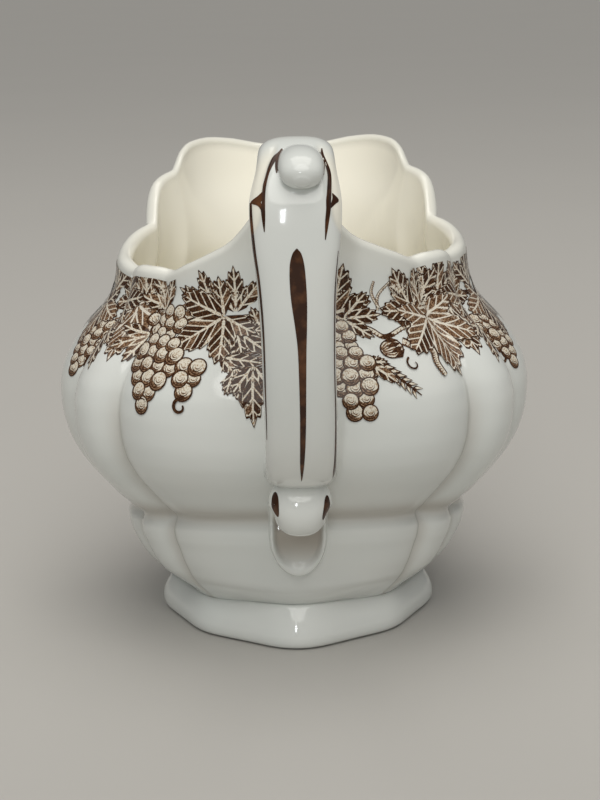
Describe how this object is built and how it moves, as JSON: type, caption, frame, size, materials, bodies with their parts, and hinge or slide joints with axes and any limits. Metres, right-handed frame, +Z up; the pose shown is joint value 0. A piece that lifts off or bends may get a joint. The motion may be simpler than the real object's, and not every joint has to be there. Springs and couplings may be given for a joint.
{
  "type": "porcelain cream jug",
  "caption": "Footed porcelain cream jug with a lobed body, scalloped lip, pulled spout and scroll handle, printed with brown vine sprays.",
  "frame": {"origin": "middle of the bounding box in plan, on the plane that the foot stands on", "axes": "+Z up, +Y along the spout with the handle toward -Y, +X to the right seen from the handle side"},
  "size_m": [0.1006, 0.1339, 0.1094],
  "materials": {
    "glazed_white": "clear glossy glaze over white ware, a little creamier inside",
    "brown_print": "engraved brown print under the glaze",
    "brown_brushwork": "hand-painted dark brown strokes under the glaze"
  },
  "bodies": {
    "root": {"body": "glazed_white", "foot_ring": "glazed_white", "handle_strap": "glazed_white", "thumb_scroll": "glazed_white", "lower_scroll": "glazed_white", "handle_root": "glazed_white", "vine_rear_left": "brown_print", "vine_rear_right": "brown_print", "vine_side_left": "brown_print", "vine_side_right": "brown_print", "vine_front_left": "brown_print", "vine_front_right": "brown_print", "centre_stroke": "brown_brushwork", "thumb_line_left": "brown_brushwork", "thumb_line_right": "brown_brushwork", "edge_line_left": "brown_brushwork", "edge_line_right": "brown_brushwork", "scroll_dot_left": "brown_brushwork", "scroll_dot_right": "brown_brushwork"}
  },
  "joints": []
}
